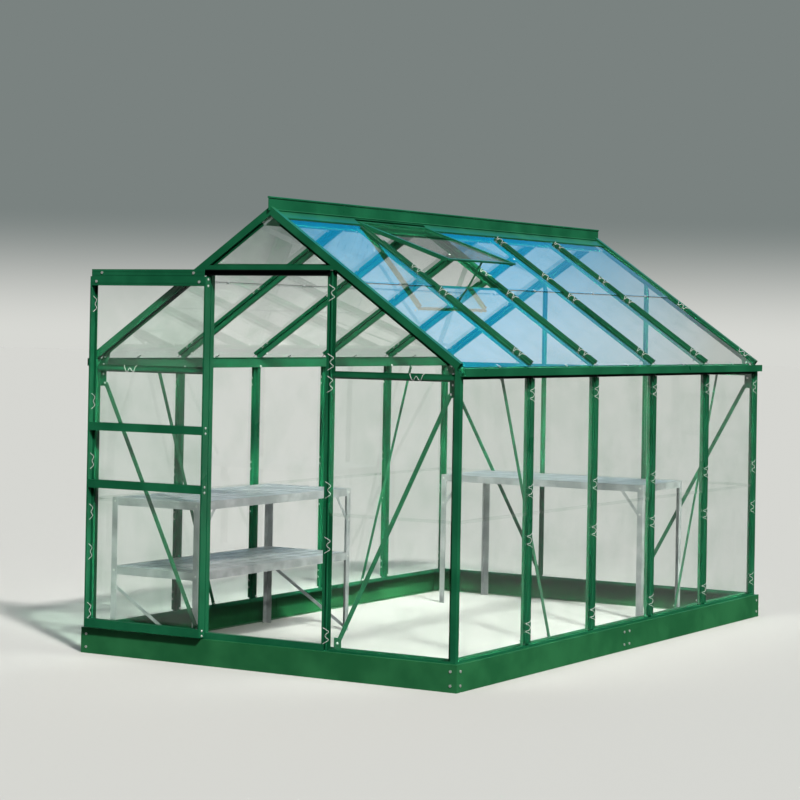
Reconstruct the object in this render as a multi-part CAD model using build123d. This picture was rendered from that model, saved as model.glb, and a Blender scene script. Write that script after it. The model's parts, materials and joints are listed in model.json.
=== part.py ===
"""A small apex-roofed glass greenhouse: green aluminium bars on a folded steel plinth.

House frame while modelling: X across the gables, Y from the door gable (y = 0 at the outer
faces of its posts) to the rear gable, Z up from the ground, all in millimetres. The finished
pieces are moved along Y so that the origin lies on the ground at the middle of the outline.
"""

from build123d import *
import math
import os

# Overall sizes, over the outer faces of the corner posts
house_width = 1930.0
house_length = 3170.0
plinth_height = 115.0
eaves_height = 1299.0
roof_pitch = 34.4
bay_pitch = 628.0
bay_count = 5
gable_bar_allowance = 100.0
rear_bar_extra = 12.0

# Glass
glass_thickness = 3.0
pane_lap = 12.0
lower_pane_height = 585.0
roof_lower_pane = 622.0
glass_inset = 14.0
glass_edge_gap = 1.0
glass_over = 10.0

# Folded steel plinth
plinth_offset = 18.0
sheet = 2.0
plinth_top_flange = 45.0
plinth_foot_flange = 30.0
joint_gap = 0.6
cleat_leg = 60.0
splice_length = 90.0
bolt_head_radius = 6.0
bolt_head_height = 2.6
plinth_bolt_edge = 28.0
plinth_bolt_inset = 30.0
splice_bolt_spacing = 54.0

# Aluminium extrusions
wall = 2.0
bar_width = 24.0
rib_height = 10.0
rib_head = 6.0
bar_depth = 28.0
channel_width = 14.0
channel_depth = 8.0
channel_slot = 6.0
post_size = 26.0
wing = 14.0
rafter_height = 32.0
sill_upstand = 13.0
sill_lip = 8.0
gable_bar_height = 16.0
gable_bar_shelf = 32.0
stud_width = 38.0
stud_front_lip = 12.0
stud_back_lip = 14.0
stud_rib = 18.0
stud_rib_top = 5.0
rafter_wing_foot = 46.0
rafter_wing_head = 70.0
rafter_past_apex = 60.0
gable_strip_out = 7.0
header_upstand = 6.0

# Gutter at the eaves
gutter_reach = 26.0
gutter_height = 34.0
gutter_lip = 6.0
eaves_drop = 13.0
roof_over_gutter = 20.0
seat_flange = 8.0

# Ridge
ridge_cap_width = 12.0
ridge_cap_height = 9.0
ridge_cap_round = 3.0
ridge_web_width = 4.0
ridge_web_height = 52.0
ridge_drop = 18.0
ridge_lip_width = 34.0
ridge_lip_height = 4.0
ridge_seat_reach = 42.0
bar_head_out = 22.0
bar_foot_in = 12.0
skirt_reach = 60.0
skirt_bead = 5.0
skirt_gap = 0.6
ridge_overhang = 12.0

# Braces and joint plates
brace_width = 20.0
brace_thickness = 3.0
brace_spread = 480.0
brace_shift = 30.0
plate_thickness = 2.0
gusset_leg = 90.0
gusset_width = 48.0
gusset_reach = 72.0
apex_plate_span = 50.0
gable_brace_foot_out = 66.0
gable_brace_foot_up = 33.0
gable_brace_head_in = 34.0
gable_brace_head_down = 60.0
foot_plate_width = 36.0
foot_plate_height = 56.0

# Roof vent, propped open
vent_bay = 1
vent_overlap = 16.0
vent_open = 15.2
vent_depth = 18.0
vent_stile = 20.0
vent_foot = 12.0
vent_foot_depth = 8.0
vent_bite = 8.0
vent_glass_down = 6.5
vent_clearance = 1.0
hinge_out = 26.0
hinge_up = 0.3
stay_width = 14.0
stay_length = 250.0
vent_sill_leg = 12.0

# Sliding door, slid open to the left
door_overlap = 16.5
door_open_gap = 15.5
door_depth = 38.0
door_foot = 122.0
stile_under_track = 6.0
door_back_gap = 7.0
door_glass_inset = 26.0
stile_width = 8.0
stile_shelf = 20.0
stile_wall = 1.5
rail_plate = 3.0
top_rail_height = 73.0
top_rail_grooves = (0.12, 0.6, 0.82)
mid_rail_height = 36.0
mid_rail_tops = (1046.0, 787.0)
foot_rail_height = 38.0
end_bolt_inset = 35.0
groove = 1.0

# Door track and its wheels
track_depth = 24.0
track_height = 26.0
track_above_eaves = 438.0
track_past_doorway = 13.0
track_lip = 4.0
wheel_radius = 8.0
wheel_width = 6.0
wheel_inset = 66.0
axle_radius = 3.0
run_gap = 0.3
header_height = 20.0
header_arm_up = 8.0
track_stay_width = 20.0
track_stay_out = 12.0
track_stay_grip = 74.0

# Door threshold
threshold_height = 28.0

# Aluminium staging
staging_depth = 490.0
staging_height = 700.0
staging_shelf_height = 385.0
staging_left_start = 110.0
staging_left_length = 1250.0
staging_rear_left = -655.0
staging_rear_length = 1210.0
staging_apron = 36.0
staging_leg = 30.0
slat_count = 6
slat_gap = 14.0
staging_clearance = 0.3
knee_brace = 130.0
knee_width = 16.0
tie_height = 300.0

# Values worked out from the sizes above
half_width = house_width / 2
doorway_width = (house_width - gable_bar_allowance) / 3
rear_bar_spacing = doorway_width + rear_bar_extra
half_door = doorway_width / 2
door_width = doorway_width + 2 * door_overlap
door_open_offset = doorway_width + door_open_gap
track_top = eaves_height + track_above_eaves
header_top = track_top + header_height
header_arm = track_top + header_arm_up
slope = math.tan(math.radians(roof_pitch))
rise = math.cos(math.radians(roof_pitch))
lean = math.sin(math.radians(roof_pitch))
seat_x = half_width - glass_inset
sill_top = plinth_height + wall
roof_edge = eaves_height + gutter_height + roof_over_gutter
apex = roof_edge + half_width * slope
first_bar = house_length / 2 - bay_pitch * (bay_count / 2 - 1)
bar_lines = [first_bar + bay_pitch * n for n in range(bay_count - 1)]
plate_back = post_size + plate_thickness
lap_height = sill_top + lower_pane_height
lap_lift = glass_thickness + 0.2
wing_under = glass_inset - rafter_height - wing - run_gap
gable_bar_foot = eaves_height - gable_bar_height
track_foot = track_top - track_height
door_stile_top = track_foot - stile_under_track
top_rail_top = track_top
track_left = wall - door_open_offset - door_width / 2
track_right = half_door + track_past_doorway
track_stay_foot = eaves_height - track_stay_grip
hinge_x = ridge_web_width / 2 + hinge_out
door_front = -door_back_gap - door_depth
door_glass_back = door_front + door_glass_inset + glass_thickness
rear_bar_depth = post_size - glass_inset
front_reach = bolt_head_height - door_front
rear_reach = plinth_offset + bolt_head_height
to_origin = Pos(0, -(house_length + rear_reach - front_reach) / 2, 0)


def strip(u0, v0, u1, v1):
    """A rectangle between two corners."""
    return Pos((u0 + u1) / 2, (v0 + v1) / 2) * Rectangle(abs(u1 - u0), abs(v1 - v0))


def run(section, start, end, out):
    """A section carried straight from start to end, its second axis pointing along out."""
    begin, along = Vector(*start), Vector(*end) - Vector(*start)
    plane = Plane(origin=begin, x_dir=along.cross(Vector(*out)), z_dir=along * -1)
    return extrude(plane * section, amount=along.length, dir=along.normalized())


def block(x0, y0, z0, x1, y1, z1):
    """A box between two corners."""
    middle = Pos((x0 + x1) / 2, (y0 + y1) / 2, (z0 + z1) / 2)
    return middle * Box(abs(x1 - x0), abs(y1 - y0), abs(z1 - z0))


def upright(points, y0, y1):
    """A plate with the given outline in X and Z, from y0 to y1."""
    outline = make_face(Polyline(*[(x, y0, z) for x, z in points], close=True))
    return extrude(outline, amount=y1 - y0, dir=(0, 1, 0))


def other_side(piece):
    """The same piece on the left half of the house."""
    return mirror(piece, about=Plane.YZ)


def other_end(piece):
    """The same piece at the rear gable."""
    return mirror(piece, about=Plane.XZ.offset(-house_length / 2))


def roof_z(x, out=0.0):
    """Height of the roof's glass seat above x, raised squarely from it by out."""
    return apex - abs(x) * slope - (glass_inset - out) / rise


def roof_point(distance, y, out=0.0):
    """A point on the right slope, by distance down the glass seat from above X = 0."""
    return (distance * rise + out * lean, y, roof_z(0) - distance * lean + out * rise)


roof_out = (lean, 0, rise)
rafter_under = glass_inset - rafter_height
foot_distance = (half_width - glass_inset * lean) / rise
head_distance = bar_head_out / rise
rib_distance = (skirt_reach + 2.0) / rise
vent_sill_distance = foot_distance + glass_over - roof_lower_pane
vent_length = vent_sill_distance - hinge_x / rise + vent_overlap


def save(name, *pieces):
    """Writes the pieces of one node, moved to the part's origin."""
    solids = [to_origin * solid for piece in pieces for solid in piece.solids()]
    shape = solids[0] if len(solids) == 1 else Compound(children=solids)
    export_step(shape, "parts/" + name + ".step")


# Sections, with the glass seat at v = 0 and the outside towards +v


def bar_base_section(depth):
    """Shelf, web and bolt channel of a glazing bar of the given depth."""
    half = channel_width / 2
    top = channel_depth - depth
    shelf = strip(-bar_width / 2, -wall, bar_width / 2, 0)
    web = strip(-wall / 2, top - wall, wall / 2, -wall / 2)
    channel = strip(-half, -depth, half, top) - strip(wall - half, wall - depth, half - wall, top - wall)
    slot = strip(-channel_slot / 2, -depth, channel_slot / 2, wall - depth)
    return shelf + web + channel - slot


def bar_rib_section():
    """Rib of a glazing bar, with the head that holds the glazing clips."""
    neck = strip(-wall / 2, -wall / 2, wall / 2, rib_height)
    return neck + strip(-rib_head / 2, rib_height - wall, rib_head / 2, rib_height)


def glazing_bar(start, end, out, rib_start=None, depth=bar_depth):
    """A glazing bar, whose rib may start further along than the bar itself."""
    rib = run(bar_rib_section(), rib_start or start, end, out)
    return run(bar_base_section(depth), start, end, out) + rib


def c_channel(height, top_flange, foot_flange):
    """Folded sheet channel: its face on v = 0 and its flanges towards -v."""
    face = strip(0, -sheet, height, 0)
    foot = strip(0, -foot_flange, sheet, 0)
    return face + foot + strip(height - sheet, -top_flange, height, 0)


# Plinth


def plinth():
    """Folded steel channels, the long ones in two halves, with cleats, splices and bolts."""
    section = c_channel(plinth_height, plinth_top_flange, plinth_foot_flange)
    reach = half_width + plinth_offset
    middle = house_length / 2
    front = run(section, (reach, -plinth_offset, 0), (-reach, -plinth_offset, 0), (0, -1, 0))
    save("plinth_gables", front, other_end(front))

    inner = plinth_top_flange - plinth_offset + joint_gap
    ends = (reach, middle - joint_gap / 2, 0), (reach, sheet - plinth_offset, 0)
    near = run(section, *ends, (1, 0, 0))
    corner = block(0, -plinth_offset, 0, reach, inner, plinth_height)
    corner -= block(reach - sheet, -plinth_offset, sheet, reach, inner, plinth_height - sheet)
    near -= corner
    sides = [near, other_end(near)]
    save("plinth_sides", *sides, *[other_side(half) for half in sides])

    low, high = sheet, plinth_height - sheet
    cleat_x, cleat_y = reach - sheet, sheet - plinth_offset
    cleat = block(cleat_x - cleat_leg, cleat_y, low, cleat_x, cleat_y + sheet, high)
    cleat += block(cleat_x - sheet, cleat_y, low, cleat_x, cleat_y + cleat_leg, high)
    half = splice_length / 2
    splice = block(cleat_x - sheet, middle - half, low, cleat_x, middle + half, high)
    cleats = [cleat, other_side(cleat)]
    cleats += [other_end(piece) for piece in cleats]
    save("plinth_joint_plates", *cleats, splice, other_side(splice))

    heights = (plinth_bolt_edge, plinth_height - plinth_bolt_edge)
    head = Cylinder(bolt_head_radius, bolt_head_height, align=(Align.CENTER, Align.CENTER, Align.MIN))
    seat = Plane(origin=(reach - plinth_bolt_inset, -plinth_offset, 0), x_dir=(1, 0, 0), z_dir=(0, -1, 0))
    quarter = [Pos(0, 0, z) * (seat * head) for z in heights]
    for y in (plinth_bolt_inset - plinth_offset, middle - splice_bolt_spacing / 2):
        seat = Plane(origin=(reach, y, 0), x_dir=(0, 1, 0), z_dir=(1, 0, 0))
        quarter += [Pos(0, 0, z) * (seat * head) for z in heights]
    half = quarter + [other_side(bolt) for bolt in quarter]
    save("plinth_bolts", *half, *[other_end(bolt) for bolt in half])


# Sills


def sill_section():
    """Bottom extrusion: base on the plinth, low outer lip, and an upstand inside."""
    base = strip(0, -bar_depth - wall, wall, glass_inset)
    lip = strip(0, glass_inset - wall, wall + sill_lip, glass_inset)
    return base + lip + strip(0, -bar_depth - wall, wall + sill_upstand, -bar_depth)


sill_inner = glass_inset + bar_depth + wall


def sills():
    """Side sills between the posts, gable sills, and the threshold between the door posts."""
    section = sill_section()
    start = post_size + run_gap
    ends = (seat_x, house_length - start, plinth_height), (seat_x, start, plinth_height)
    right = run(section, *ends, (1, 0, 0))
    save("sills_sides", right, other_side(right))
    end = half_width - start
    seat = glass_inset
    inner = half_width - sill_inner - run_gap
    notch = block(inner, start - run_gap, plinth_height, half_width, 2 * sill_inner, 2 * plinth_height)
    part = run(section, (end, seat, plinth_height), (half_door, seat, plinth_height), (0, -1, 0)) - notch
    part -= block(half_door, 0, sill_top, half_door + stud_width, post_size, apex)
    whole = run(section, (end, seat, plinth_height), (-end, seat, plinth_height), (0, -1, 0)) - notch
    save("sills_gables", part, other_side(part), other_end(whole - other_side(notch)))

    tube = strip(0, -post_size, threshold_height, 0)
    tube -= strip(wall, wall - post_size, threshold_height - wall, -wall)
    half = half_door - run_gap
    save("threshold", run(tube, (half, 0, plinth_height), (-half, 0, plinth_height), (0, -1, 0)))


# Walls


def under_rafter(piece, out=rafter_under, front=-house_length):
    """The piece cut off under the right-hand gable rafter, from y = front on."""
    high = 2 * apex
    over = [(0, roof_z(0, out)), (house_width, roof_z(house_width, out)), (house_width, high), (0, high)]
    return piece - upright(over, front, house_length)


def under_wing(piece):
    """The piece cut off under the rafter in front, and under the rafter's glass shelf behind."""
    return under_rafter(under_rafter(piece, rafter_under - run_gap), wing_under, glass_inset - run_gap)


def corner_post():
    """Hollow front right corner post, with a wing behind each glass edge."""
    inner = half_width - post_size
    tube = block(inner, 0, plinth_height, half_width, post_size, apex)
    tube -= block(inner + wall, wall, 0, half_width - wall, post_size - wall, 2 * apex)
    side_wing = block(seat_x - wall, post_size - wall, sill_top, seat_x, post_size + wing, eaves_height)
    shelf_top = gable_bar_foot - (gable_bar_shelf - gable_bar_height) / 2 - run_gap
    gable_wing = block(inner - wing, glass_inset, sill_top, inner + wall, glass_inset + wall, shelf_top)
    return under_rafter(tube) + side_wing + gable_wing


def posts():
    """The four corner posts."""
    right = corner_post()
    front = [right, other_side(right)]
    save("corner_posts", *front, *[other_end(post) for post in front])


def gutter():
    """Right-hand eaves gutter: trough, inner web, and the sloping seat of the roof bars."""
    start = plate_back + run_gap
    outer = half_width + gutter_reach
    inner = seat_x - bar_depth
    back = inner - seat_flange
    top = eaves_height + gutter_height
    under = wall / rise
    trough = strip(inner - wall, eaves_height, outer, eaves_height + wall)
    rim = strip(outer - wall, eaves_height, outer, top) + strip(outer - gutter_lip, top - wall, outer, top)
    foot = eaves_height - eaves_drop
    edges = [(inner, foot), (inner, roof_z(inner, -bar_depth))]
    edges += [(back, roof_z(back, -bar_depth)), (back, roof_z(back, -bar_depth) - under)]
    edges += [(inner - wall, roof_z(inner - wall, -bar_depth) - under), (inner - wall, foot)]
    seat = make_face(Polyline(*edges, close=True))
    between = Plane(origin=(0, start, 0), x_dir=(1, 0, 0), z_dir=(0, -1, 0))
    body = extrude(between * (trough + rim + seat), amount=house_length - 2 * start, dir=(0, 1, 0))
    whole = Plane(origin=(0, 0, 0), x_dir=(1, 0, 0), z_dir=(0, -1, 0))
    past_posts = strip(half_width + run_gap, eaves_height, outer, eaves_height + wall) + rim
    return body + extrude(whole * past_posts, amount=house_length, dir=(0, 1, 0))


def side_walls():
    """Upright glazing bars of the long walls, and the gutters on them."""
    right = []
    for y in bar_lines:
        right.append(glazing_bar((seat_x, y, sill_top), (seat_x, y, eaves_height), (1, 0, 0)))
    save("side_bars_right", *right)
    save("side_bars_left", *[other_side(bar) for bar in right])
    eaves = gutter()
    save("gutter_right", eaves)
    save("gutter_left", other_side(eaves))


def stud_section():
    """Door post: wall and lips at the doorway, glass shelf and clip rib beyond it."""
    jamb = strip(0, -post_size, wall, 0) + strip(0, -wall, stud_front_lip, 0)
    jamb += strip(0, -post_size, stud_back_lip, wall - post_size)
    shelf = strip(0, -glass_inset - wall, stud_width, -glass_inset)
    middle, half = stud_rib + wall / 2, rib_head / 2
    rib = strip(stud_rib, -glass_inset, stud_rib + wall, -stud_rib_top)
    return jamb + shelf + rib + strip(middle - half, -stud_rib_top - wall, middle + half, -stud_rib_top)


def gable_bar_section():
    """Level bar at the eaves: front strip, web, and a shelf behind the glass above and below."""
    middle = gable_bar_height / 2
    face = gable_strip_out + wall
    front = strip(0, gable_strip_out, gable_bar_height, face)
    web = strip(middle - wall / 2, -wall, middle + wall / 2, face)
    overlap = (gable_bar_shelf - gable_bar_height) / 2
    return front + web + strip(-overlap, -wall, gable_bar_height + overlap, 0)


def level_bar(x1, x0):
    """An eaves-level bar of the front gable between two places."""
    ends = (x1, glass_inset, gable_bar_foot), (x0, glass_inset, gable_bar_foot)
    return run(gable_bar_section(), *ends, (0, -1, 0))


def gables():
    """Rafters, door posts, rear bars, eaves-level bars and the door header."""
    height = strip(rafter_under, -post_size, glass_inset, 0)
    tube = height - strip(rafter_under + wall, wall - post_size, glass_inset - wall, -wall)
    gable_wing = strip(rafter_under - wing, -glass_inset - wall, rafter_under + wall, -glass_inset)
    roof_wing = strip(-wall, -post_size - wing, 0, wall - post_size)
    foot = roof_point(foot_distance, 0)
    head = roof_point(-rafter_past_apex, 0)
    rafter = run(tube, foot, head, (0, -1, 0))
    wing_foot = roof_point(foot_distance - rafter_wing_foot, 0)
    rafter += run(gable_wing + roof_wing, wing_foot, roof_point(rafter_wing_head, 0), (0, -1, 0))
    half_body = ridge_web_width / 2 + run_gap
    notch = block(-half_body, -1, apex - ridge_drop - run_gap, half_body, post_size + wing + 1, 2 * apex)
    rafter = rafter - block(-house_width, -1, 0, run_gap / 2, house_length, 2 * apex) - notch
    near = [rafter, other_side(rafter)]
    save("rafters_front", *near)
    save("rafters_rear", *[other_end(piece) for piece in near])

    stud = run(stud_section(), (half_door, 0, sill_top), (half_door, 0, track_top - run_gap), (0, -1, 0))
    stud = under_wing(stud)
    save("door_posts", stud, other_side(stud))

    rear_x = rear_bar_spacing / 2
    seat = glass_inset
    bar = glazing_bar((rear_x, seat, sill_top), (rear_x, seat, apex), (0, -1, 0), depth=rear_bar_depth)
    bar = other_end(under_rafter(bar, wing_under))
    save("rear_bars", bar, other_side(bar))

    end = half_width - post_size - run_gap
    start = half_door + stud_width + run_gap
    clear = bar_width / 2 + run_gap
    front = level_bar(end, start)
    outer, centre = level_bar(end, rear_x + clear), level_bar(rear_x - clear, clear - rear_x)
    save("gable_bars", front, other_side(front), *[other_end(b) for b in (outer, other_side(outer), centre)])

    plate = strip(track_foot, -wall, track_top + wall, 0)
    half = half_door - run_gap
    middle = run(plate, (half, 0, 0), (-half, 0, 0), (0, -1, 0))
    arm_back = -glass_inset - wall
    beam = strip(track_top, -wall, header_top, 0) + strip(header_arm, arm_back, header_arm + wall, 0)
    beam += strip(header_arm, arm_back, header_top + header_upstand, -glass_inset)
    header = middle + run(beam, (half_width, 0, 0), (-half_width, 0, 0), (0, -1, 0))
    save("door_header", under_wing(other_side(under_wing(header))))


def brace(start, end, out):
    """A flat strip from start to end, lying just behind them."""
    return run(strip(-brace_width / 2, -brace_thickness, brace_width / 2, 0), start, end, out)


def braces():
    """Diagonal strips in the long walls and in the outer bays of the gables."""
    inner = seat_x - bar_depth - wall
    low, high = sill_top + brace_width / 2, eaves_height - eaves_drop + brace_width / 2
    walls = []
    for bar, way in ((bar_lines[0], 1), (bar_lines[-1], -1)):
        middle = bar + way * brace_shift
        head_y, foot_y = middle - way * brace_spread / 2, middle + way * brace_spread / 2
        walls.append(brace((inner, foot_y, low), (inner, head_y, high), (1, 0, 0)))
    save("side_braces", *walls, *[other_side(piece) for piece in walls])

    foot_z = sill_top + gable_brace_foot_up
    head = (half_width - post_size - gable_brace_head_in, plate_back, gable_bar_foot - gable_brace_head_down)
    near = brace((half_door + gable_brace_foot_out, plate_back, foot_z), head, (0, -1, 0))
    rear = brace((rear_bar_spacing / 2, plate_back, foot_z), head, (0, -1, 0))
    save("gable_braces", near, other_side(near), *[other_end(piece) for piece in (rear, other_side(rear))])


def corner_gusset():
    """Plate across the right-hand rafter and corner post."""
    edge, clear = seat_x - wall - run_gap, -wall - run_gap
    back, foot = edge - gusset_reach, eaves_height - gusset_leg
    outline = [(edge, foot), (edge, min(roof_z(edge, clear), eaves_height - run_gap))]
    inside = edge - gusset_width
    outline += [(inside, roof_z(inside, clear)), (back, roof_z(back, clear))]
    outline += [(back, roof_z(back, rafter_under)), (inside, gable_bar_foot), (inside, foot)]
    return upright(outline, post_size, plate_back)


def apex_plate():
    """Chevron plate behind the rafters' meeting, below the ridge."""
    clear, span = -wall - run_gap, apex_plate_span
    head = apex - ridge_drop - run_gap
    flat = max((roof_z(0, clear) - head) / slope, 0.0)
    outline = [(0, head), (flat, min(head, roof_z(flat, clear)))] if flat > 0 else [(0, roof_z(0, clear))]
    outline += [(span, roof_z(span, clear)), (span, roof_z(span, rafter_under)), (0, roof_z(0, rafter_under))]
    half = upright(outline, post_size, plate_back)
    return half + other_side(half)


def joint_plates():
    """Plates at the eaves corners and apexes, and upright plates under the feet of the gable braces."""
    gusset, apex_ = corner_gusset(), apex_plate()
    near = [gusset, other_side(gusset), apex_]
    half = foot_plate_width / 2
    plate = block(-half, post_size, sill_top, half, plate_back, sill_top + foot_plate_height)
    front_foot = Pos(half_door + gable_brace_foot_out, 0, 0) * plate
    rear_foot = Pos(rear_bar_spacing / 2, 0, 0) * plate
    feet = [front_foot, other_side(front_foot), other_end(rear_foot), other_end(other_side(rear_foot))]
    save("joint_plates", *near, *[other_end(piece) for piece in near], *feet)


# Roof


def ridge_top():
    """Rounded cap on an upright web, the ridge's profile above the rafters."""
    foot = apex - ridge_drop
    top = foot + ridge_web_height
    web = strip(-ridge_web_width / 2, foot, ridge_web_width / 2, top + ridge_cap_height / 2)
    cap = RectangleRounded(ridge_cap_width, ridge_cap_height, ridge_cap_round)
    return web + Pos(0, top + ridge_cap_height / 2) * cap


def skirt_outline(side):
    """Skirt of one slope, just clear of the glass below it, with a bead along its edge."""
    near, far = ridge_web_width / 4, skirt_reach
    bead = far - skirt_bead
    low, high, top = [glass_thickness + skirt_gap + up for up in (0, wall, wall + skirt_bead / 2)]
    points = [(near, roof_z(near, low)), (far, roof_z(far, low))]
    points += [(far, roof_z(far, top)), (bead, roof_z(bead, top))]
    points += [(bead, roof_z(bead, high)), (near, roof_z(near, high))]
    return make_face(Polyline(*[(side * x, z) for x, z in points], close=True))


def bar_seat_outline(side):
    """Sloping seat under the heads of the bars of one slope."""
    reach = ridge_seat_reach
    points = [(0, roof_z(0, -bar_depth)), (reach, roof_z(reach, -bar_depth))]
    points += [(reach, roof_z(reach, -bar_depth) - wall / rise), (0, roof_z(0, -bar_depth) - wall / rise)]
    return make_face(Polyline(*[(side * x, z) for x, z in points], close=True))


def ridge():
    """The ridge bar: its top runs out over the gables, its lips, skirts and seats lie between them."""
    start = plate_back + run_gap
    foot = apex - ridge_drop
    lower = strip(-wall / 2, roof_z(0, -bar_depth) - wall / rise, wall / 2, foot + wall)
    lower += Pos(0, foot + ridge_lip_height / 2) * RectangleRounded(
        ridge_lip_width, ridge_lip_height, ridge_lip_height / 2 - 0.1
    )
    for side in (1, -1):
        lower += skirt_outline(side) + bar_seat_outline(side)
    between = Plane(origin=(0, start, 0), x_dir=(1, 0, 0), z_dir=(0, -1, 0))
    lower_part = extrude(between * lower, amount=house_length - 2 * start, dir=(0, 1, 0))
    clear, past = rib_head / 2 + vent_clearance - run_gap, ridge_lip_width / 2 + run_gap
    window = block(past, bar_lines[vent_bay - 1] + clear, 0, house_width, bar_lines[vent_bay] - clear, apex)
    window -= block(0, 0, 0, skirt_reach, house_length, roof_z(skirt_reach, -wall))
    whole = Plane(origin=(0, -ridge_overhang, 0), x_dir=(1, 0, 0), z_dir=(0, -1, 0))
    upper_part = extrude(whole * ridge_top(), amount=house_length + 2 * ridge_overhang, dir=(0, 1, 0))
    save("ridge", upper_part + (lower_part - window))


def roof_bars():
    """Sloping glazing bars, their ribs notched back from the ridge skirts."""
    foot = foot_distance - bar_foot_in
    right = []
    for y in bar_lines:
        ends = (roof_point(head_distance, y), roof_point(foot, y))
        right.append(glazing_bar(*ends, roof_out, roof_point(rib_distance, y)))
    save("roof_bars_right", *right)
    save("roof_bars_left", *[other_side(bar) for bar in right])


# Glass


def wall_plane(origin, across, out):
    """Plane on a glass seat: x along the wall, y up it, z outwards."""
    return Plane(origin=origin, x_dir=across, z_dir=out)


def pane(x0, y0, x1, y1):
    """A pane lying on the seat."""
    return block(x0, y0, 0, x1, y1, glass_thickness)


def lapped_pane(x0, y0, x1, y1):
    """An upper pane: its head on the seat, its foot on the face of the pane below."""
    lap = pane_lap
    tilt = math.degrees(math.atan(lap_lift / (y1 - y0 - lap)))
    flat = block(x0, y0 - y1, 0, x1, 0, glass_thickness)
    return Pos(0, y1, 0) * (Rot(-tilt, 0, 0) * flat)


def column(plane, x0, x1, foot, lap, top):
    """Lower and upper pane of one bay."""
    return [plane * pane(x0, foot, x1, lap), plane * lapped_pane(x0, lap - pane_lap, x1, top)]


def bay_edges():
    """Glass edges of the bays along a long side."""
    clear = wall / 2 + glass_edge_gap
    starts = [plate_back + glass_edge_gap] + [y + clear for y in bar_lines]
    ends = [y - clear for y in bar_lines] + [house_length - plate_back - glass_edge_gap]
    return list(zip(starts, ends))


def side_glass():
    """Two lapped panes in each bay of the long walls."""
    plane = wall_plane((seat_x, 0, 0), (0, 1, 0), (1, 0, 0))
    right = []
    for start, end in bay_edges():
        right += column(plane, start, end, sill_top, lap_height, eaves_height - run_gap)
    save("glass_right", *right)
    save("glass_left", *[other_side(sheet_) for sheet_ in right])


def roof_glass():
    """Two lapped panes in each bay of the slopes, one only under the vent."""
    foot = foot_distance + glass_over
    plane = wall_plane(roof_point(foot, 0), (0, 1, 0), roof_out)
    top = foot - head_distance - 4.0
    left, right = [], []
    for number, (start, end) in enumerate(bay_edges()):
        bay = column(plane, start, end, 0, roof_lower_pane, top)
        right += bay[:1] if number == vent_bay else bay
        left += [other_side(sheet_) for sheet_ in bay]
    save("glass_roof_right", *right)
    save("glass_roof_left", *left)


def gable_top_pane(x0, x1, foot):
    """Pane above the eaves-level bar, cut to the slope under the rafter."""
    out = rafter_under - glass_edge_gap
    points = [(x0, foot), (x1, foot), (x1, roof_z(x1, out))]
    if x0 < 0:
        points += [(0, roof_z(0, out))]
    points += [(x0, roof_z(x0, out))]
    return upright(points, glass_inset - glass_thickness, glass_inset)


def gable_glass():
    """Panes of both gables."""
    inner = half_width - post_size - glass_edge_gap
    stud_edge = half_door + 18 + wall + glass_edge_gap
    plane = wall_plane((0, glass_inset, 0), (1, 0, 0), (0, -1, 0))
    middle = gable_bar_foot + gable_bar_height / 2
    below, above = middle - wall / 2 - glass_edge_gap, middle + wall / 2 + glass_edge_gap
    right = column(plane, stud_edge, inner, sill_top, lap_height, below)
    under_header = block(0, 0, header_arm - glass_edge_gap, half_width, post_size, apex)
    right.append(gable_top_pane(stud_edge, inner, above) - under_header)
    foot = header_arm + wall + glass_edge_gap
    half_top = (roof_z(0, rafter_under - glass_edge_gap) - foot) / slope - glass_edge_gap
    over_door = gable_top_pane(-half_top, half_top, foot)
    save("glass_front", *right, *[other_side(sheet_) for sheet_ in right], over_door)

    clear = wall / 2 + glass_edge_gap
    rear_x = rear_bar_spacing / 2
    outer = column(plane, rear_x + clear, inner, sill_top, lap_height, below)
    outer.append(gable_top_pane(rear_x + clear, inner, above))
    centre = column(plane, clear - rear_x, rear_x - clear, sill_top, lap_height, below)
    centre.append(gable_top_pane(clear - rear_x, rear_x - clear, above))
    rear = outer + [other_side(sheet_) for sheet_ in outer] + centre
    save("glass_rear", *[other_end(sheet_) for sheet_ in rear])


# Roof vent


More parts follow.
